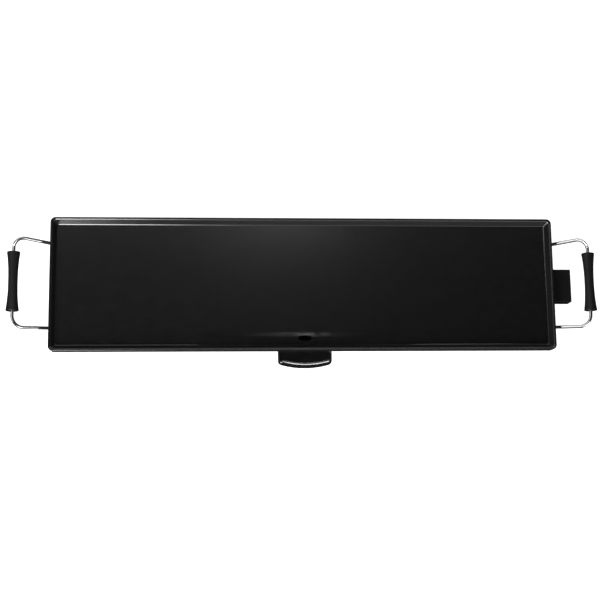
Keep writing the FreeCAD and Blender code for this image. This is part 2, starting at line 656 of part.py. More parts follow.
def earth_contacts():
    """Two spring strips on the guard's inner sides, each held by a rivet."""
    head_r, head_h = EARTH_RIVET_HEAD
    strip_y = GUARD_W / 2 - GUARD_T - SNUG
    inside = strip_y - EARTH_STRIP_T - SNUG
    outside = GUARD_W / 2 + SNUG
    rivets = []
    for name, side in SIDES:
        add(f"earth_contact_{name}", earth_strip(side, strip_y))
        shank = across_guard(EARTH_RIVET_R, side, inside, outside)
        inner_head = across_guard(head_r, side, inside - head_h, inside)
        outer_head = across_guard(head_r, side, outside, outside + head_h)
        rivets.append(shank.fuse([inner_head, outer_head]).removeSplitter())
    add("earth_rivets", *rivets)


# ---- Legs and feet ----
def across_section(x, y, width, z0, z1):
    """Upright rectangle that faces along X."""
    low, high = y - width / 2, y + width / 2
    return closed([Vector(x, y_at, z) for y_at, z in ((low, z0), (high, z0), (high, z1), (low, z1))])


def wire_seat(x, y, outward):
    """Room in the top of a leg for the wire and its flattened eye."""
    slot_w = 2 * (WIRE_R + SLOT_GAP)
    top = LEG_TOP + PAST
    start_x, taper_x, end_x = (x + outward * reach for reach in SLOT_X)
    eye = upright(EYE_R + SEAT_GAP, x, y, EYE_BOTTOM, top)
    slot = block(start_x, end_x, y - slot_w / 2, y + slot_w / 2, SLOT_FLOOR, top)
    taper = loft(across_section(start_x, y, SLOT_TAPER_W, EYE_BOTTOM, top),
                 across_section(taper_x, y, slot_w, SLOT_FLOOR, top))
    return [eye, slot, taper]


def leg(x, y):
    """Tapered leg with a slot for the handle wire, a screw hole and a well for the foot."""
    outward = math.copysign(1, x)
    bottom = rounded_rectangle(*LEG_FOOT_SIZE, LEG_CORNER_R, FOOT_H, (x, y))
    top = rounded_rectangle(*LEG_TOP_SIZE, LEG_CORNER_R, LEG_TOP, (x, y))
    screw_hole = upright(M5[0] + LOOSE, x, y, 0, LEG_TOP)
    well = upright(LEG_WELL_R, x, y, 0, LEG_WELL_TOP)
    return loft(bottom, top).cut(wire_seat(x, y, outward) + [screw_hole, well]).removeSplitter()


def foot(x, y):
    """Rubber pad with a stem that presses into the leg's well."""
    stem_top = FOOT_H + FOOT_STEM_H
    pad = fillet_at(upright(FOOT_R, x, y, 0, FOOT_H), FOOT_EDGE_R[0], at_height(0))
    stem = upright(LEG_WELL_R - SNUG, x, y, FOOT_H, stem_top)
    stem = fillet_at(stem, FOOT_EDGE_R[1], at_height(stem_top))
    return pad.fuse(stem).removeSplitter()


def legs():
    hole_r = M5[0] + LOOSE
    seat = LEG_WELL_TOP - LOCK_WASHER_T
    places = list(LEG_PLACES.values())
    for name, (x, y) in LEG_PLACES.items():
        add(f"leg_{name}", leg(x, y))
        add(f"foot_{name}", foot(x, y))
    add("leg_screws", *[pan_screw(M5, x, y, seat, LEG_SCREW_L) for x, y in places])
    add("lock_washers", *[ring(LOCK_WASHER_R, hole_r, x, y, seat, LEG_WELL_TOP) for x, y in places])
    add("heat_washers", *[ring(EYE_R, hole_r, x, y, EYE_TOP, LEG_BOSS_BOTTOM) for x, y in places])


# ---- Handles ----
def flattened_end(y):
    """Eye pressed at the wire's end, and the neck that widens into it."""
    eye = upright(EYE_R, LEG_X, y, EYE_BOTTOM, EYE_TOP)
    sections = []
    for x, (width, thick) in zip((LEG_X + NECK_START, WIRE_START_X + NECK_OVERLAP), NECK_SIZE):
        sections.append(across_section(x, y, width, WIRE_Z - thick / 2, WIRE_Z + thick / 2))
    return [eye, loft(*sections)]


def handle_wires():
    """Chromed wire loops with flattened eyes, clamped between the legs and the plate."""
    wide = LEG_Y + WIRE_SPREAD
    half = [(WIRE_START_X, LEG_Y, WIRE_Z), (WIRE_BEND_X, LEG_Y, WIRE_Z), (GRIP_X, wide, GRIP_Z)]
    other_half = [(x, -y, z) for x, y, z in reversed(half)]
    path = rounded_path(half + other_half, [WIRE_BEND_R, WIRE_CORNER_R, WIRE_CORNER_R, WIRE_BEND_R])
    loop = round_bar(path, WIRE_R).fuse(flattened_end(LEG_Y) + flattened_end(-LEG_Y))
    holes = [upright(M5[0] + LOOSE, LEG_X, y, EYE_BOTTOM - PAST, EYE_TOP + PAST) for y in (LEG_Y, -LEG_Y)]
    right = loop.cut(holes).removeSplitter()
    add("handle_wire_right", right)
    add("handle_wire_left", mirrored_end(right))


def grip_radius(share):
    """Radius at a share of the grip's half length: slim in the middle, flared at the ends."""
    return GRIP_WAIST_R + (GRIP_END_R - GRIP_WAIST_R) * share ** GRIP_FLARE


def waisted_grip():
    """Whole grip, turned about its own axis, with the wire's hole through it."""
    half_l = GRIP_L / 2
    shares = [i / GRIP_POINTS for i in range(-GRIP_POINTS, GRIP_POINTS + 1)]
    side = Part.BSplineCurve()
    side.interpolate([Vector(GRIP_X + grip_radius(abs(s)), s * half_l, GRIP_Z) for s in shares])
    low, high = Vector(GRIP_X, -half_l, GRIP_Z), Vector(GRIP_X, half_l, GRIP_Z)
    flare = Vector(GRIP_END_R, 0, 0)
    curves = [
        Part.LineSegment(low, low + flare),
        side,
        Part.LineSegment(high + flare, high),
        Part.LineSegment(high, low),
    ]
    outline = Part.Wire([c.toShape() for c in curves])
    body = Part.Face(outline).revolve(low, Vector(0, 1, 0), 360)
    end_rim = lambda e: abs(abs(e.CenterOfMass.y) - half_l) < TOUCH and e.Length > GRIP_END_R
    body = fillet_at(body, GRIP_EDGE_R, end_rim)
    return body.cut(rod(WIRE_R + SNUG, (GRIP_X, -half_l, GRIP_Z), (GRIP_X, half_l, GRIP_Z)))


def grips():
    """Two moulded halves round each wire, split level with the table and screwed from below."""
    body = waisted_grip()
    room = GRIP_END_R + PAST
    above = block(GRIP_X - room, GRIP_X + room, -GRIP_L, GRIP_L, GRIP_Z, GRIP_Z + room)
    upper, lower = body.common(above), body.cut(above)
    shank_r, head_r, head_h = M25
    seat, bottom = GRIP_Z - GRIP_SCREW_SEAT, GRIP_Z - room
    screws = []
    for dx in (GRIP_SCREW[0], -GRIP_SCREW[0]):
        for y in (GRIP_SCREW[1], -GRIP_SCREW[1]):
            x = GRIP_X + dx
            upper = upper.cut(upright(shank_r + SNUG, x, y, GRIP_Z - PAST, GRIP_Z + GRIP_SCREW_DEPTH))
            lower = lower.cut(upright(shank_r + EASY, x, y, bottom, GRIP_Z + PAST))
            lower = lower.cut(upright(head_r + EASY, x, y, bottom, seat))
            screws.append(pan_screw(M25, x, y, seat, GRIP_SCREW_L))
    for end, place in (("right", lambda solid: solid), ("left", mirrored_end)):
        add(f"grip_upper_{end}", place(upper))
        add(f"grip_lower_{end}", place(lower))
        add(f"grip_screws_{end}", *[place(screw) for screw in screws])


# ---- Drip tray and its rails ----
def pull_outline(side_inset, front_inset, z):
    """Plan of the tray's pull: straight sides, round corners and a bowed front."""
    half_w = PULL_W / 2 - side_inset
    back_y = FRONT_Y + PULL_BEHIND + side_inset
    front_y = FRONT_Y - TRAY_OUT + front_inset
    corner = PULL_CORNER_R - PULL_CORNER_EASE * side_inset
    mid = PULL_CORNER_MID * corner
    shoulder_y = front_y + PULL_BULGE
    left = [Vector(-half_w, back_y, z), Vector(-half_w, shoulder_y + corner, z),
            Vector(-half_w + mid, shoulder_y + mid, z),
            Vector(-half_w + corner, shoulder_y - PULL_CORNER_DIP, z)]
    right = [Vector(-p.x, p.y, z) for p in left]
    curves = [
        Part.LineSegment(left[0], left[1]),
        Part.Arc(left[1], left[2], left[3]),
        Part.Arc(left[3], Vector(0, front_y, z), right[3]),
        Part.Arc(right[3], right[2], right[1]),
        Part.LineSegment(right[1], right[0]),
        Part.LineSegment(right[0], left[0]),
    ]
    return Part.Wire([c.toShape() for c in curves])


def tray_pull():
    """Hollow pull with a raised round lip and room for fingertips underneath."""
    pull = prism(pull_outline(0.0, 0.0, PULL_BOTTOM), PULL_TOP - PULL_BOTTOM)
    level_top = at_height(PULL_TOP)
    in_front = lambda e: level_top(e) and e.CenterOfMass.y < FRONT_Y + PULL_BEHIND - PAST
    pull = fillet_at(pull, PULL_EDGE_R, in_front)
    recess_z = PULL_TOP - PULL_LIP_DROP
    thumb_rest = prism(pull_outline(PULL_SIDE_LIP, PULL_FRONT_LIP, recess_z), PULL_LIP_DROP + PAST)
    low = PULL_BOTTOM - PAST
    finger_room = prism(pull_outline(PULL_SHELL_T, PULL_SHELL_T, low), recess_z - PULL_SHELL_T - low)
    return pull.cut([thumb_rest, finger_room])


def drip_tray():
    """Open pan with side flanges that ride on the rails, in one moulding with its pull."""
    front_y = FRONT_Y + PAN_FRONT_GAP
    centre = (0, (front_y + PAN_BACK_Y) / 2)
    depth = PAN_BACK_Y - front_y

    def outline(inset, radius, z):
        return rounded_rectangle(PAN_W - 2 * inset, depth - 2 * inset, radius, z, centre)

    outer_r, inner_r = PAN_CORNER_R
    outer = loft(outline(PAN_TAPER, outer_r, PAN_BOTTOM), outline(0, outer_r, PAN_TOP))
    hollow_floor = outline(PAN_TAPER + PAN_WALL_T, inner_r, PAN_BOTTOM + PAN_FLOOR_T)
    hollow = loft(hollow_floor, outline(PAN_WALL_T, inner_r, PAN_TOP))
    flange_x = PAN_W / 2 + PAN_FLANGE_W
    flange_start = front_y + PAN_FLANGE_START
    flanges = block(-flange_x, flange_x, flange_start, PAN_BACK_Y, PAN_TOP - PAN_FLANGE_T, PAN_TOP)
    add("drip_tray", outer.fuse([flanges, tray_pull()]).cut(hollow).removeSplitter())


def tray_rails():
    """Bent steel rails under the plate: outward flange, web, inward ledge and a stop at the back."""
    web_x = PAN_W / 2 + PAN_FLANGE_W + RAIL_SIDE_GAP
    outer_x = web_x + RAIL_T
    ledge_x = PAN_W / 2 + RAIL_LEDGE_GAP
    ledge_top = PAN_TOP - PAN_FLANGE_T - RAIL_GAP
    ledge_bottom = ledge_top - RAIL_T
    seat = RAIL_SEAT - RAIL_T
    front, back = FRONT_Y + RAIL_ENDS[0], PAN_BACK_Y + RAIL_ENDS[1]
    web = block(web_x, outer_x, front, back, ledge_bottom, RAIL_SEAT)
    ledge = block(ledge_x, outer_x, front, back, ledge_bottom, ledge_top)
    flange = block(web_x, RAIL_OUTER_X, front, back, seat, RAIL_SEAT)
    stop = block(ledge_x, outer_x, back - RAIL_T, back, ledge_bottom, RAIL_SEAT)
    rail = web.fuse([ledge, flange, stop])
    for y in RAIL_SCREW_Y:
        rail = rail.cut(upright(M4[0] + EASY, RAIL_SCREW_X, y, seat - PAST, RAIL_SEAT + PAST))
    right = rail.removeSplitter()
    add("tray_rail_right", right)
    add("tray_rail_left", mirrored_end(right))
    add("rail_screws", *[pan_screw(M4, x, y, seat, RAIL_SCREW_L) for x, y in RAIL_SCREW_PLACES])


def save_nodes():
    """Writes each node, moved so that the footprint's middle is over the origin."""
    os.makedirs("parts", exist_ok=True)
    for name, solids in sorted(NODES.items()):
        placed = []
        for solid in solids:
            moved = solid.copy()
            moved.translate(FOOTPRINT_SHIFT)
            placed += moved.Solids
        shape = placed[0] if len(placed) == 1 else Part.makeCompound(placed)
        shape.exportStep(f"parts/{name}.step")
        sound = all(s.isValid() and s.isClosed() for s in placed)
        volume = sum(s.Volume for s in placed) / 1000
        print(f"{name}: {len(placed)} solid(s), {volume:.2f} cm3, sound {sound}")


griddle_plate()
heating_element()
element_straps()
socket_guard()
terminal_plate()
earth_contacts()
legs()
handle_wires()
grips()
drip_tray()
tray_rails()
save_nodes()
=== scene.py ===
import json
import math

import bpy
from mathutils import Euler, Matrix, Vector

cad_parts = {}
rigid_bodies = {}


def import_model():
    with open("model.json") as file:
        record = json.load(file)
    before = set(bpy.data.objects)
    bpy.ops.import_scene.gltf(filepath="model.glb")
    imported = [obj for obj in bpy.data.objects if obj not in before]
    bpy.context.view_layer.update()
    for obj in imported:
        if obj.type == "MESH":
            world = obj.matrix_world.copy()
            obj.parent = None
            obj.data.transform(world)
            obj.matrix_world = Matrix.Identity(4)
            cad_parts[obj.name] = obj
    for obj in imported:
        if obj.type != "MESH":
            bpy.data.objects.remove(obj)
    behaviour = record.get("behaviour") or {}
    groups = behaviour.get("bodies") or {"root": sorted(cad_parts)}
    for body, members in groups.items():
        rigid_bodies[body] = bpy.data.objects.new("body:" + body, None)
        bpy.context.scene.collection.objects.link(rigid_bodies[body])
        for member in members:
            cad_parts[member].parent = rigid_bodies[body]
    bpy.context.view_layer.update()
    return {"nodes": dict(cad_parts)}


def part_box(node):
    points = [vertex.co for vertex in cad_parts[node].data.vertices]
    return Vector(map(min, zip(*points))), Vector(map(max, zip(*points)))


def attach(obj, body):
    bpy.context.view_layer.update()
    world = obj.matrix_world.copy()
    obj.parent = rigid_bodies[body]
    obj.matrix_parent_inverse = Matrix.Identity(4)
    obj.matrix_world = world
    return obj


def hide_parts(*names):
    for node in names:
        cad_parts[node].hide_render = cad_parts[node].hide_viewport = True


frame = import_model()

# Looks of the long electric griddle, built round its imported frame. Metres, +Z up, -Y is the tray's side.
# CAD nodes keep their shapes and get new materials. The handle wires, the grips and the drip tray are
# replaced by softer mesh pieces.

scene = bpy.context.scene
nodes = frame["nodes"]
MM = 0.001
GRIDDLE, TRAY = "griddle", "drip_tray"

# ---- Camera: above the griddle, tipped a little back from straight down ----
CAMERA_AT = (-0.1687, -0.3959, 2.2167)
CAMERA_TURN = (10.10, -4.12, -0.736)   # degrees
SENSOR = 36.0
FOCAL_LENGTH = 73.74
CLIP_END = 30.0

# ---- Studio: a round floor that sweeps up into a wall ----
FLOOR_R = 6.0
SWEEP_R = 2.0
WALL_TOP = 7.0
FLOOR_SIDES = 64
FLOOR_GREY = 0.3
FLOOR_GLOW = 0.95              # keeps the floor white where no lamp reaches it
# Brightness of the room, by height: 0 is straight down, 0.5 level with the table, 1 straight up.
ROOM_STOPS = ((0.0, 0.01), (0.46, 0.02), (0.52, 0.30), (0.62, 0.24), (0.80, 0.04), (1.0, 0.01))

# ---- Sizes of the plate's sprayed coat ----
COAT_EDGE = 0.7 * MM           # the plate's outer faces are coated, to this far inside its outline
COAT_FADE = (-0.2 * MM, 0.5 * MM)
DRAIN_FROM_FRONT = 24.0 * MM   # plate's front face to the middle of the drain hole
DRAIN_COAT_X = 13.5 * MM       # half sizes of the coated patch that takes in the walls of the drain hole
DRAIN_COAT_Y = 6.7 * MM

# ---- Sizes of the tray ----
PULL_HALF_W = 48.0 * MM
PULL_BEHIND = 4.0 * MM         # the pull reaches this far behind the plate's front face
PULL_CORNER = 6.0 * MM
PULL_BULGE = 7.5 * MM          # rise of the pull's curved front edge
PULL_BACK_CORNER = 1.0 * MM
SIDE_SHARE = 0.55              # the pull's side lips are narrower than its front lip
CORNER_SHARE = 0.3             # the pull's corners grow tighter by this share of the inset
FRONT_STEPS = 16
CORNER_STEPS = 10
PAN_GAP = 2.0 * MM             # plate's front face to the pan
PAN_TOP = 54.0 * MM
PAN_CORNER = 4.0 * MM
PAN_INNER_CORNER = 3.0 * MM
PAN_TAPER = 2.0 * MM
PAN_WALL = 1.8 * MM
PAN_FLOOR = 2.0 * MM
FLANGE_W = 5.0 * MM
FLANGE_T = 1.8 * MM
FLANGE_BACK = 2.0 * MM         # the flanges start this far behind the pan's front
FLANGE_CORNER = 2.0 * MM
FLANGE_EASE = 0.4 * MM         # rounding of the flanges' edges

# ---- Sizes of the handles ----
WIRE_R = 3.0 * MM
WIRE_BEND = 34.0 * MM          # the wire starts to rise this far outside the leg's screw
WIRE_BEND_R = 12.0 * MM
WIRE_CORNER_R = 20.0 * MM
WIRE_SIDES = 28
ROUND_POWER = 2.0              # exponents of the wire's section, round and where it is pressed
PRESSED_POWER = 4.0
EYE_R = 7.5 * MM
EYE_HALF_T = 1.6 * MM
EYE_EASE = 0.35 * MM
EYE_HOLE_R = 2.75 * MM
NECK = (4.0 * MM, 16.0 * MM)   # the round wire flattens between these distances from the eye's middle
NECK_HALF_W = 5.6 * MM
RUN_STEPS, BEND_STEPS, LAST_STEPS = 12, 16, 6   # sections in a straight run, a bend and the last half run
GRIP_END_R = 11.54 * MM
GRIP_WAIST_R = 8.3 * MM
GRIP_FLARE = 2.4
GRIP_EDGE = 1.3 * MM           # rounding of the grip's ends
GRIP_STEPS = 20                # sections along half a grip
WIRE_GAP = 0.05 * MM           # grip's groove to the wire
PARTING = 0.35 * MM            # rounding along the line where the grip's halves meet
SCREW_HEAD_R = 2.2 * MM
SCREW_HEAD_GAP = 0.15 * MM
SCREW_HEAD_DEPTH = 2.6 * MM    # the screw heads' seat below the parting line
WELL_REACH = 12.0 * MM         # the wells' cutters end this far below the seat, outside the grip


# ---- Camera and studio ----
def place_camera():
    """Camera that looks down on the griddle."""
    data = bpy.data.cameras.new("camera")
    data.sensor_width = SENSOR
    data.lens = FOCAL_LENGTH
    data.clip_end = CLIP_END
    camera = bpy.data.objects.new("camera", data)
    camera.location = CAMERA_AT
    camera.rotation_euler = Euler([math.radians(a) for a in CAMERA_TURN])
    scene.collection.objects.link(camera)
    scene.camera = camera


def softbox(name, at, size, radiance, towards=(0, 0, 0)):
    """Rectangular lamp that faces a point; its power follows from the radiance of its face."""
    data = bpy.data.lights.new(name, "AREA")
    data.shape = "RECTANGLE"
    data.size, data.size_y = size
    data.energy = radiance * math.pi * size[0] * size[1]
    lamp = bpy.data.objects.new(name, data)
    lamp.location = at
    lamp.rotation_euler = (Vector(towards) - Vector(at)).to_track_quat("-Z", "Y").to_euler()
    scene.collection.objects.link(lamp)
    return lamp


def keep_off(lamp, kind):
    """Shades the pieces of a kind from a lamp, as a flag does in a studio."""
    shaded = bpy.data.collections.new(f"shaded_from_{lamp.name}")
    for piece in scene.objects:
        if piece.name.startswith(kind):
            shaded.objects.link(piece)
    lamp.light_linking.receiver_collection = shaded
    for entry in shaded.collection_objects:
        entry.light_linking.link_state = "EXCLUDE"


def room_light():
    """Soft light from all round: brightest just above table height, dark below it and overhead."""
    world = bpy.data.worlds.new("room")
    scene.world = world
    world.use_nodes = True
    tree = world.node_tree
    direction = tree.nodes.new("ShaderNodeTexCoord")
    parts = tree.nodes.new("ShaderNodeSeparateXYZ")
    height = tree.nodes.new("ShaderNodeMapRange")
    ramp = tree.nodes.new("ShaderNodeValToRGB")
    height.inputs["From Min"].default_value = -1
    tree.links.new(direction.outputs["Generated"], parts.inputs[0])
    tree.links.new(parts.outputs["Z"], height.inputs["Value"])
    tree.links.new(height.outputs["Result"], ramp.inputs[0])
    tree.links.new(ramp.outputs["Color"], tree.nodes["Background"].inputs["Color"])
    set_stops(ramp, ROOM_STOPS)


def studio():
    """A tall key lamp in front on the left, a narrow one overhead that lights the tray's lip, and wide
    weak ones all round. The key would burn out the chromed wires, and the fill would grey the tray's front.
    """
    key = softbox("key", (-0.9, -1.5, 1.05), (0.9, 1.6), 26.0)
    fill = softbox("fill", (0.7, -1.7, 1.1), (2.0, 1.0), 3.0)
    softbox("left", (-1.7, 0.0, 1.5), (3.0, 1.0), 1.3)
    softbox("top", (0.07, 0.81, 2.2), (0.38, 0.06), 15.0)
    softbox("sky", (-0.15, 1.15, 2.0), (2.9, 0.35), 4.5)
    softbox("back", (0.0, 2.2, 0.8), (2.4, 0.5), 2.0)
    keep_off(key, "handle_loop")
    keep_off(fill, "drip_tray")
    scene.view_settings.view_transform = "Standard"


def lay_floor():
    """Round pale floor that sweeps up into a pale wall far from the griddle."""
    outline = arc((FLOOR_R, SWEEP_R), SWEEP_R, -90, 0, 6) + [(FLOOR_R + SWEEP_R, WALL_TOP)]
    count = FLOOR_SIDES
    points = [Vector((0, 0, 0))]
    for radius, z in outline:
        for i in range(count):
            turn = math.tau * i / count
            points.append(Vector((radius * math.cos(turn), radius * math.sin(turn), z)))
    following = [(i + 1) % count for i in range(count)]
    faces = [(0, 1 + i, 1 + j) for i, j in enumerate(following)]
    for row in range(len(outline) - 1):
        a = 1 + row * count
        b = a + count
        faces += [(a + i, b + i, b + j, a + j) for i, j in enumerate(following)]
    floor = mesh_piece("floor", points, faces)
    floor.data.shade_smooth()
    look = Look("floor_paper", (FLOOR_GREY, FLOOR_GREY, FLOOR_GREY), 0.9)
    look.set("Specular IOR Level", 0.0)
    look.set("Emission Color", (1, 1, 1, 1))
    look.set("Emission Strength", FLOOR_GLOW)
    floor.data.materials.append(look.material)
    floor.visible_glossy = False


# ---- Material helpers ----
def set_stops(ramp, stops):
    """Gives a colour ramp its stops: a place, and a grey level or a colour."""
    marks = ramp.color_ramp.elements
    while len(marks) < len(stops):
        marks.new(0.5)
    for mark, (place, colour) in zip(marks, stops):
        mark.position = place
        mark.color = (*colour, 1) if isinstance(colour, tuple) else (colour, colour, colour, 1)


class Look:
    """A material, with short ways to wire its nodes. Lengths and scales are in metres of the object."""

    def __init__(self, name, colour, roughness, metallic=0.0):
        self.material = bpy.data.materials.new(name)
        self.material.use_nodes = True
        self.tree = self.material.node_tree
        self.shader = self.tree.nodes["Principled BSDF"]
        self.set("Base Color", (*colour, 1))
        self.set("Roughness", roughness)
        self.set("Metallic", metallic)
        coordinates = self.tree.nodes.new("ShaderNodeTexCoord").outputs
        self.place = coordinates["Object"]
        self.facing = coordinates["Normal"]

    def set(self, socket, value):
        self.shader.inputs[socket].default_value = value

    def link(self, output, socket):
        self.tree.links.new(output, self.shader.inputs[socket])

    def node(self, kind, inputs=(), **settings):
        made = self.tree.nodes.new("ShaderNode" + kind)
        for key, value in settings.items():
            setattr(made, key, value)
        for key, value in dict(inputs).items():
            if isinstance(value, bpy.types.NodeSocket):
                self.tree.links.new(value, made.inputs[key])
            else:
                made.inputs[key].default_value = value
        return made

    def math(self, operation, first, second=0.0, third=0.0):
        return self.node("Math", {0: first, 1: second, 2: third}, operation=operation).outputs[0]

    def axes(self, vector):
        return self.node("SeparateXYZ", {0: vector}).outputs

    def noise(self, grains, detail=3.0, stretch=None):
        """Noise with so many grains to a metre, drawn out along an axis where its stretch is small."""
        at = self.place
        if stretch:
            at = self.node("Mapping", {"Vector": at, "Scale": stretch}).outputs[0]
        return self.node("TexNoise", {"Vector": at, "Scale": grains, "Detail": detail}).outputs["Fac"]

    def spread(self, value, low, high, reach=(0.3, 0.7)):
        """Maps a value's reach to run from low to high, and holds it there outside."""
        inputs = {"Value": value, "From Min": reach[0], "From Max": reach[1], "To Min": low, "To Max": high}
        return self.node("MapRange", inputs).outputs["Result"]

    def ramp(self, value, stops):
        made = self.node("ValToRGB", {"Fac": value})
        set_stops(made, stops)
        return made.outputs["Color"]

    def mix(self, share, first, second):
        return self.node("Mix", {0: share, 6: first, 7: second}, data_type="RGBA").outputs[2]

    def blend(self, share, first, second):
        return self.node("Mix", {0: share, 2: first, 3: second}, data_type="FLOAT").outputs[0]

    def bump(self, height, depth, normal=None):
        inputs = {"Height": height, "Distance": depth, "Strength": 1.0}
        if normal:
            inputs["Normal"] = normal
        return self.node("Bump", inputs).outputs["Normal"]

    def eased(self, radius):
        """Normal of the surface with its sharp edges eased."""
        return self.node("Bevel", {"Radius": radius}, samples=4).outputs["Normal"]


# ---- Materials ----
def nonstick():
    """Sprayed black coating; the spray doesn't reach the plate's underside, which is bare cast aluminium."""
    look = Look("nonstick_on_cast_aluminium", (0.005, 0.005, 0.005), 0.3)
    low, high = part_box("griddle_plate")
    middle_y = (low.y + high.y) / 2
    drain_y = low.y + DRAIN_FROM_FRONT
    x, y, _ = look.axes(look.place)
    facing_up = look.axes(look.facing)["Z"]
    mist = look.noise(1400, 2)
    beside_x = look.math("SUBTRACT", look.math("ABSOLUTE", x), high.x - COAT_EDGE)
    from_middle = look.math("ABSOLUTE", look.math("SUBTRACT", y, middle_y))
    beside_y = look.math("SUBTRACT", from_middle, (high.y - low.y) / 2 - COAT_EDGE)
    outside = look.spread(look.math("MAXIMUM", beside_x, beside_y), 0, 1, COAT_FADE)
    upward = look.spread(facing_up, 0, 1, (0.02, 0.12))
    hole_x = look.math("DIVIDE", x, DRAIN_COAT_X)
    hole_y = look.math("DIVIDE", look.math("SUBTRACT", y, drain_y), DRAIN_COAT_Y)
    hole = look.math("ADD", look.math("MULTIPLY", hole_x, hole_x), look.math("MULTIPLY", hole_y, hole_y))
    in_hole = look.spread(hole, 1, 0, (0.95, 1.05))
    reached = look.math("MAXIMUM", look.math("MAXIMUM", outside, upward), in_hole)
    coated = look.spread(look.math("ADD", reached, look.math("MULTIPLY", mist, 0.5)), 0, 1, (0.55, 0.85))
    cast_greys = ((0.3, (0.40, 0.40, 0.41)), (0.7, (0.58, 0.58, 0.59)))
    spray_greys = ((0.35, (0.0016, 0.0016, 0.0017)), (0.75, (0.0030, 0.0030, 0.0031)))
    casting = look.ramp(look.noise(45, 5, (0.35, 1, 1)), cast_greys)
    spray = look.ramp(look.noise(900, 3), spray_greys)
    look.link(look.mix(coated, casting, spray), "Base Color")
    look.link(look.math("SUBTRACT", 1.0, coated), "Metallic")
    cast_roughness = look.spread(look.noise(160, 4), 0.42, 0.58)
    spray_roughness = look.spread(look.noise(60, 4), 0.21, 0.25)
    look.link(look.blend(coated, cast_roughness, spray_roughness), "Roughness")
    pebbles = look.bump(look.noise(1500, 2), 0.010 * MM)
    look.link(look.bump(look.noise(420, 3), 0.012 * MM, pebbles), "Normal")
    return look


def heater_sheath():
    """Steel sheath, tinted by heat except at its cold ends."""
    look = Look("heat_tinted_sheath", (0.2, 0.18, 0.15), 0.42, 1.0)
    cold_end = look.spread(look.axes(look.place)["X"], 0, 1, (0.395, 0.43))
    tints = ((0.3, (0.10, 0.085, 0.075)), (0.5, (0.20, 0.17, 0.13)), (0.72, (0.16, 0.15, 0.17)))
    tint = look.ramp(look.noise(30, 5), tints)
    look.link(look.mix(cold_end, tint, (0.42, 0.41, 0.39, 1)), "Base Color")
    look.link(look.spread(look.noise(350, 4, (0.2, 1, 1)), 0.34, 0.52), "Roughness")
    look.link(look.bump(look.noise(1200, 2, (0.15, 1, 1)), 0.02 * MM), "Normal")
    return look


def plated(name, dark, light, roughness, grains, stretch, ease=0.0, depth=0.008 * MM):
    """Plated or rolled metal, with fine marks drawn out along one axis."""
    look = Look(name, light, roughness[0], 1.0)
    look.link(look.ramp(look.noise(grains / 12, 4), ((0.3, dark), (0.7, light))), "Base Color")
    look.link(look.spread(look.noise(grains, 4, stretch), *roughness), "Roughness")
    normal = look.eased(ease) if ease else None
    look.link(look.bump(look.noise(grains * 1.6, 2, stretch), depth, normal), "Normal")
    return look


def ceramic():
    """Pale fired ceramic with darker specks."""
    look = Look("fired_ceramic", (0.8, 0.77, 0.68), 0.55)
    specks = ((0.32, (0.62, 0.57, 0.48)), (0.42, (0.80, 0.77, 0.69)))
    look.link(look.ramp(look.noise(2600, 2), specks), "Base Color")
    look.link(look.spread(look.noise(900), 0.45, 0.65), "Roughness")
    look.link(look.bump(look.noise(2200, 3), 0.03 * MM), "Normal")
    return look


def moulded(name, dark, light, roughness, grains, depth, ease=0.0, gloss=0.5):
    """Moulded plastic or rubber with the mould's fine texture."""
    look = Look(name, light, roughness[0])
    look.set("Specular IOR Level", gloss)
    look.link(look.ramp(look.noise(grains / 3, 4), ((0.35, dark), (0.7, light))), "Base Color")
    look.link(look.spread(look.noise(grains / 5, 4), *roughness), "Roughness")
    normal = look.eased(ease) if ease else None
    look.link(look.bump(look.noise(grains, 2), depth, normal), "Normal")
    return look


def grey(level):
    return (level, level, level * 1.02)


def make_looks():
    """Every material slot of the record, by name."""
    along, even = (0.08, 1, 1), (1, 1, 1)
    return {
        "nonstick_coating": nonstick(),
        "heater_sheath": heater_sheath(),
        "contact_steel": plated("nickel_plate", (0.56, 0.54, 0.50), (0.68, 0.66, 0.62), (0.16, 0.28), 1500,
                                along),
        "seal_ceramic": ceramic(),
        "spring_brass": plated("rolled_brass", (0.56, 0.38, 0.15), (0.76, 0.56, 0.26), (0.22, 0.36), 1600,
                               along),
        "zinc_steel": plated("zinc_plate", (0.44, 0.45, 0.46), (0.60, 0.60, 0.56), (0.30, 0.46), 900, along,
                             0.25 * MM, 0.015 * MM),
        "screw_steel": plated("screw_plate", (0.46, 0.46, 0.45), (0.62, 0.62, 0.61), (0.22, 0.38), 1800, even,
                              0.1 * MM),
        "phenolic_black": moulded("phenolic", grey(0.0025), grey(0.0045), (0.40, 0.52), 1700, 0.025 * MM,
                                  0.5 * MM, 0.10),
        "foot_rubber": moulded("rubber", grey(0.014), grey(0.024), (0.62, 0.80), 2200, 0.04 * MM,
                               0.3 * MM, 0.3),
        "handle_chrome": plated("chrome", (0.76, 0.77, 0.79), (0.84, 0.85, 0.86), (0.05, 0.12), 500, even,
                                0.0, 0.004 * MM),
        "grip_plastic": moulded("grip_moulding", grey(0.003), grey(0.005), (0.36, 0.46), 1500, 0.022 * MM,
                                0.0, 0.15),
        "tray_plastic": moulded("tray_moulding", grey(0.0025), grey(0.004), (0.04, 0.07), 140, 0.008 * MM,
                                0.0, 0.9),
    }


# ---- Mesh helpers ----
def mesh_piece(name, points, faces):
    """New object with a mesh of its own."""
    mesh = bpy.data.meshes.new(name)
    mesh.from_pydata([tuple(p) for p in points], [], faces)
    mesh.update()
    piece = bpy.data.objects.new(name, mesh)
    scene.collection.objects.link(piece)
    return piece


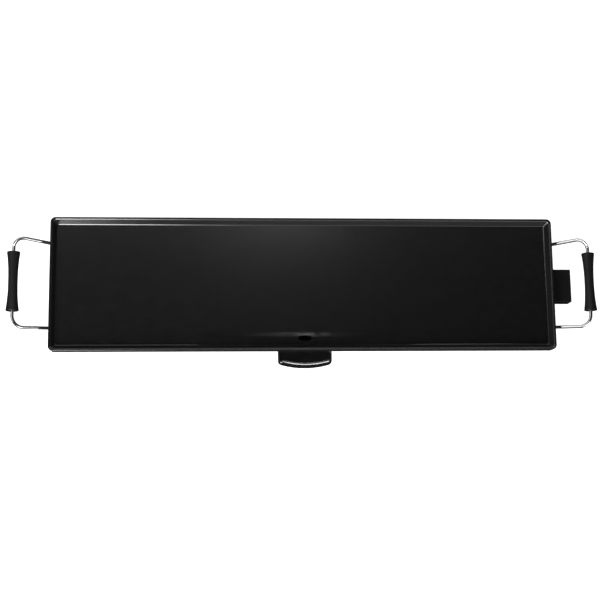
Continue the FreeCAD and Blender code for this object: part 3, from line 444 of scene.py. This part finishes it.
def lofted(name, rings):
    """Closed solid through rings of equal length, with a flat cap at each end."""
    count = len(rings[0])
    points = [p for ring in rings for p in ring]
    faces = []
    for row in range(len(rings) - 1):
        for i in range(count):
            j = (i + 1) % count
            a, b = row * count, (row + 1) * count
            faces.append((a + i, a + j, b + j, b + i))
    faces.append(tuple(reversed(range(count))))
    last = (len(rings) - 1) * count
    faces.append(tuple(last + i for i in range(count)))
    return mesh_piece(name, points, faces)


def carve(piece, other, operation):
    """Joins or cuts another solid, which is then removed."""
    step = piece.modifiers.new(operation.lower(), "BOOLEAN")
    step.operation = operation
    step.solver = "EXACT"
    step.object = other
    whole = bpy.data.meshes.new_from_object(piece.evaluated_get(bpy.context.evaluated_depsgraph_get()))
    piece.modifiers.clear()
    piece.data = whole
    bpy.data.objects.remove(other)


def finish_piece(piece, body, replaced, slot, sharp=40):
    """Smooth shading that keeps real corners, and the piece's place in the assembly."""
    mesh = piece.data
    mesh.shade_smooth()
    mesh.set_sharp_from_angle(angle=math.radians(sharp))
    piece.modifiers.new("even_normals", "WEIGHTED_NORMAL").keep_sharp = True
    mesh.materials.clear()
    mesh.materials.append(LOOKS[slot].material)
    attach(piece, body)
    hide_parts(replaced)


def arc(centre, radius, start, end, steps):
    """Points on an arc, with its angles in degrees."""
    turns = [math.radians(start + (end - start) * i / steps) for i in range(steps + 1)]
    return [(centre[0] + radius * math.cos(t), centre[1] + radius * math.sin(t)) for t in turns]


def rounded_rectangle(x0, x1, y0, y1, radius, z, steps=8):
    """Ring of points, anticlockwise from above."""
    ring = []
    for x, y, start in ((x1, y1, 0), (x0, y1, 90), (x0, y0, 180), (x1, y0, 270)):
        cx = x - math.copysign(radius, x - (x0 + x1) / 2)
        cy = y - math.copysign(radius, y - (y0 + y1) / 2)
        ring += [Vector((px, py, z)) for px, py in arc((cx, cy), radius, start, start + 90, steps)]
    return ring


def upright(name, x, y, radius_heights, steps=40):
    """Solid turned about an upright axis, from pairs of radius and height, the lowest first."""
    last_turn = 360 - 360 / steps
    return lofted(name, [[Vector((px, py, z)) for px, py in arc((x, y), radius, 0, last_turn, steps - 1)]
                         for radius, z in radius_heights])


# ---- Drip tray ----
def pull_ring(inset, z):
    """Plan of the tray's pull: straight sides, round corners and a bowed front, drawn in by an inset."""
    side_in = inset * SIDE_SHARE
    half_w = PULL_HALF_W - side_in
    front_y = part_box("drip_tray")[0].y + inset
    back_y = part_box("griddle_plate")[0].y + PULL_BEHIND - side_in
    corner = PULL_CORNER - CORNER_SHARE * inset
    meet = half_w - corner
    slope = 2 * PULL_BULGE * meet / PULL_HALF_W ** 2
    bow = [meet * i / FRONT_STEPS for i in range(FRONT_STEPS + 1)]
    front = [Vector((x, front_y + PULL_BULGE * (x / PULL_HALF_W) ** 2, z)) for x in bow]
    knee = front[-1].y + slope * corner
    first, middle, last = front[-1], Vector((half_w, knee, z)), Vector((half_w, knee + corner, z))
    turn = []
    for i in range(1, CORNER_STEPS + 1):
        t = i / CORNER_STEPS
        turn.append(first * (1 - t) ** 2 + middle * 2 * t * (1 - t) + last * t ** 2)
    back = [(half_w, back_y - PULL_BACK_CORNER), (half_w - PULL_BACK_CORNER, back_y), (0.3 * half_w, back_y)]
    right = front + turn + [Vector((x, y, z)) for x, y in back]
    return right + [Vector((-p.x, p.y, z)) for p in reversed(right[1:])]


def tray_pull():
    """Hollow pull: fingertip room below, and a lip that rises to a rounded crest in front of a thumb rest.

    Each point of the profile is an inset from the pull's outline and a height, in millimetres.
    """
    ceiling = [(6.0, 54.0)] + arc((4.6, 51.7), 2.3, 90, 180, 5)
    rim_below = [(2.2, 46.0), (2.0, 41.0), (1.8, 40.3), (1.4, 40.0), (0.9, 40.0), (0.35, 40.15), (0.05, 40.6)]
    outer_wall = [(0.0, 41.2), (0.0, 46.0), (0.25, 50.6)]
    roll = [(0.6, 53.0), (1.1, 55.0)] + arc((3.2, 56.15), 1.6, 160, 90, 8)
    crest = [(4.0, 57.67), (5.0, 57.52), (6.0, 57.37)] + arc((6.1, 56.67), 0.7, 80, 10, 5)
    rest = [(7.4, 55.95), (7.8, 55.55), (8.6, 55.4), (11.0, 55.4), (14.0, 55.4)]
    profile = ceiling + rim_below + outer_wall + roll + crest + rest
    return lofted("tray_pull", [pull_ring(inset * MM, z * MM) for inset, z in profile])


def drip_tray():
    """Pan with side flanges, in one moulding with its pull.

    The points of foot, hollow_foot and mouth are an inset and a height, in millimetres.
    """
    low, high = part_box("drip_tray")
    half_w = high.x - FLANGE_W
    y0, y1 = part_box("griddle_plate")[0].y + PAN_GAP, high.y

    def pan_ring(inset, radius, z):
        return rounded_rectangle(-half_w + inset, half_w - inset, y0 + inset, y1 - inset, radius, z)

    def flange_ring(inset, z):
        front = y0 + FLANGE_BACK + inset
        return rounded_rectangle(-high.x + inset, high.x - inset, front, y1 - inset, FLANGE_CORNER, z, 5)

    foot = [(2.2, 0.0), (0.9, 0.3), (0.3, 0.9), (0.1, 2.0)]
    outside = [pan_ring(PAN_TAPER + e * MM, PAN_CORNER, low.z + d * MM) for e, d in foot]
    tray = lofted("drip_tray_moulding", outside + [pan_ring(0, PAN_CORNER, PAN_TOP)])
    ease, under = FLANGE_EASE, PAN_TOP - FLANGE_T
    heights = [(ease, under), (0.1 * MM, under + 0.1 * MM), (0, under + ease), (0, PAN_TOP - ease)]
    heights += [(0.1 * MM, PAN_TOP - 0.1 * MM), (ease, PAN_TOP)]
    carve(tray, lofted("flanges", [flange_ring(inset, z) for inset, z in heights]), "UNION")
    carve(tray, tray_pull(), "UNION")
    gone = PAN_TAPER + PAN_WALL
    hollow_foot = [(2.4, 0.0), (1.1, 0.3), (0.35, 1.1), (0.1, 2.4)]
    hollow = [pan_ring(gone + e * MM, PAN_INNER_CORNER, low.z + PAN_FLOOR + d * MM) for e, d in hollow_foot]
    mouth = [(0.1, -0.5), (-0.4, 0.01), (-0.4, 1.0)]
    hollow += [pan_ring(PAN_WALL + e * MM, PAN_INNER_CORNER, PAN_TOP + d * MM) for e, d in mouth]
    carve(tray, lofted("hollow", hollow), "DIFFERENCE")
    finish_piece(tray, TRAY, "drip_tray", "tray_plastic", 35)


# ---- Handles ----
def bent_line(points, radii):
    """Points and directions along straight runs that are joined by tangent arcs."""
    line, last = [], points[0]
    for before, corner, after, radius in zip(points, points[1:], points[2:], radii):
        back, on = (before - corner).normalized(), (after - corner).normalized()
        half = back.angle(on) / 2
        start, end = corner + back * radius / math.tan(half), corner + on * radius / math.tan(half)
        centre = corner + (back + on).normalized() * radius / math.sin(half)
        line += [(last.lerp(start, i / RUN_STEPS), -back) for i in range(RUN_STEPS)]
        axis, whole_turn = on.cross(back).normalized(), math.pi - 2 * half
        for i in range(BEND_STEPS + 1):
            turn = Matrix.Rotation(whole_turn * i / BEND_STEPS, 3, axis)
            line.append((centre + turn @ (start - centre), turn @ -back))
        last = end
    run = points[-1] - last
    return line + [(last + run * (i / LAST_STEPS), run.normalized()) for i in range(1, LAST_STEPS + 1)]


def wire_ring(point, across, up, half_w, half_t, power):
    """Section of the wire: a circle, or flatter and squarer where it is pressed."""
    ring = []
    for i in range(WIRE_SIDES):
        a = math.tau * i / WIRE_SIDES
        c, s = math.cos(a), math.sin(a)
        w = math.copysign(abs(c) ** (2 / power), c) * half_w
        t = math.copysign(abs(s) ** (2 / power), s) * half_t
        ring.append(point + across * w + up * t)
    return ring


def handle_wire(end, side):
    """Bent wire loop with a pressed eye under each leg screw, built for +X and mirrored for the other end."""
    low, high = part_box("handle_wire_right")
    leg_low, leg_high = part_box("leg_rear_right")
    grip_low, grip_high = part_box("grip_upper_right")
    middle_y = (low.y + high.y) / 2
    leg = (leg_low + leg_high) / 2
    wire_z = low.z + WIRE_R
    eye = Vector((leg.x, leg.y, wire_z))
    bend = Vector((leg.x + WIRE_BEND, leg.y, wire_z))
    far = Vector(((grip_low.x + grip_high.x) / 2, high.y - WIRE_R, grip_low.z))
    middle = Vector((far.x, middle_y, far.z))

    def flipped(ring):
        return [Vector((p.x, 2 * middle_y - p.y, p.z)) for p in ring]

    across, rings = Vector((0, 1, 0)), []
    for point, along in bent_line([eye, bend, far, middle], [WIRE_BEND_R, WIRE_CORNER_R]):
        across = (across - along * across.dot(along)).normalized()
        round_share = min(1, max(0, (point.x - eye.x - NECK[0]) / (NECK[1] - NECK[0])))
        eased = round_share ** 2 * (3 - 2 * round_share)
        half_w = NECK_HALF_W + (WIRE_R - NECK_HALF_W) * eased
        half_t = EYE_HALF_T + (WIRE_R - EYE_HALF_T) * eased
        power = PRESSED_POWER + (ROUND_POWER - PRESSED_POWER) * eased
        rings.append(wire_ring(point, across, along.cross(across), half_w, half_t, power))
    rings += [flipped(ring) for ring in reversed(rings[:-1])]
    wire = lofted(f"handle_loop_{end}", rings)
    t, e = EYE_HALF_T, EYE_EASE
    disc = [(EYE_R - e, wire_z - t), (EYE_R, wire_z - t + e)]
    disc += [(EYE_R, wire_z + t - e), (EYE_R - e, wire_z + t)]
    hole = [(EYE_HOLE_R, wire_z - 2 * t), (EYE_HOLE_R, wire_z + 2 * t)]
    for y in (leg.y, 2 * middle_y - leg.y):
        carve(wire, upright("eye", leg.x, y, disc), "UNION")
        carve(wire, upright("eye_hole", leg.x, y, hole), "DIFFERENCE")
    if side < 0:
        mirror_end(wire)
    finish_piece(wire, GRIDDLE, f"handle_wire_{end}", "handle_chrome", 50)


def mirror_end(piece):
    """Mirrors a piece from the right end to the left."""
    for vertex in piece.data.vertices:
        vertex.co.x = -vertex.co.x
    piece.data.flip_normals()


def grip_section(radius):
    """Upper half of the grip's section: rounded at the parting line, hollowed for the wire."""
    e = PARTING
    edge_turn = math.degrees(math.asin(e / radius)) * 1.5
    outer = arc((0, 0), radius, edge_turn, 180 - edge_turn, 40)
    groove_r = WIRE_R + WIRE_GAP
    flat_left = [(-radius + e * 0.35, e * 0.4), (-radius + e, 0.0), (-radius * 0.6, 0.0), (-groove_r, 0.0)]
    groove = arc((0, 0), groove_r, 165, 15, 10)
    flat_right = [(-x, z) for x, z in reversed(flat_left)]
    return outer + flat_left + groove + flat_right


def grip_half(end, side, half, up):
    """One moulded half of a waisted grip, with rounded ends."""
    low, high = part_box("grip_upper_right")
    axis_x, split_z = (low.x + high.x) / 2, low.z
    middle_y, half_l = (low.y + high.y) / 2, (high.y - low.y) / 2

    def radius(share):
        return GRIP_WAIST_R + (GRIP_END_R - GRIP_WAIST_R) * abs(share) ** GRIP_FLARE

    shares = [i / GRIP_STEPS for i in range(-GRIP_STEPS, GRIP_STEPS + 1)]
    stations = [(share * (half_l - GRIP_EDGE), radius(share)) for share in shares]
    tips = []
    for a in (math.radians(degrees) for degrees in (18, 36, 54, 72, 90)):
        tips.append((half_l - GRIP_EDGE * (1 - math.sin(a)), GRIP_END_R - GRIP_EDGE * (1 - math.cos(a))))
    stations = [(-y, r) for y, r in reversed(tips)] + stations + tips
    rings = []
    for y, r in stations:
        section = grip_section(r)
        rings.append([Vector((axis_x + x, middle_y + y, split_z + up * z)) for x, z in section])
    grip = lofted(f"grip_shell_{half}_{end}", rings)
    if up > 0:
        grip.data.flip_normals()
    else:
        sink_screws(grip, axis_x, split_z)
    if side < 0:
        mirror_end(grip)
    finish_piece(grip, GRIDDLE, f"grip_{half}_{end}", "grip_plastic", 40)


def sink_screws(grip, axis_x, split_z):
    """Wells for the screw heads in the lower half."""
    low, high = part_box("grip_screws_right")
    well_r = SCREW_HEAD_R + SCREW_HEAD_GAP
    seat = split_z - SCREW_HEAD_DEPTH
    for x in (low.x + SCREW_HEAD_R, high.x - SCREW_HEAD_R):
        for y in (low.y + SCREW_HEAD_R, high.y - SCREW_HEAD_R):
            well = upright("well", x, y, [(well_r, seat - WELL_REACH), (well_r, seat)], 28)
            carve(grip, well, "DIFFERENCE")


def handles():
    """Wire and grip halves of both ends."""
    for end, side in (("right", 1), ("left", -1)):
        handle_wire(end, side)
        grip_half(end, side, "upper", 1)
        grip_half(end, side, "lower", -1)


# ---- The whole scene ----
place_camera()
LOOKS = make_looks()
for node in nodes.values():
    slot = node.data.materials[0].name
    node.data.materials[0] = LOOKS[slot].material
drip_tray()
handles()
lay_floor()
room_light()
studio()
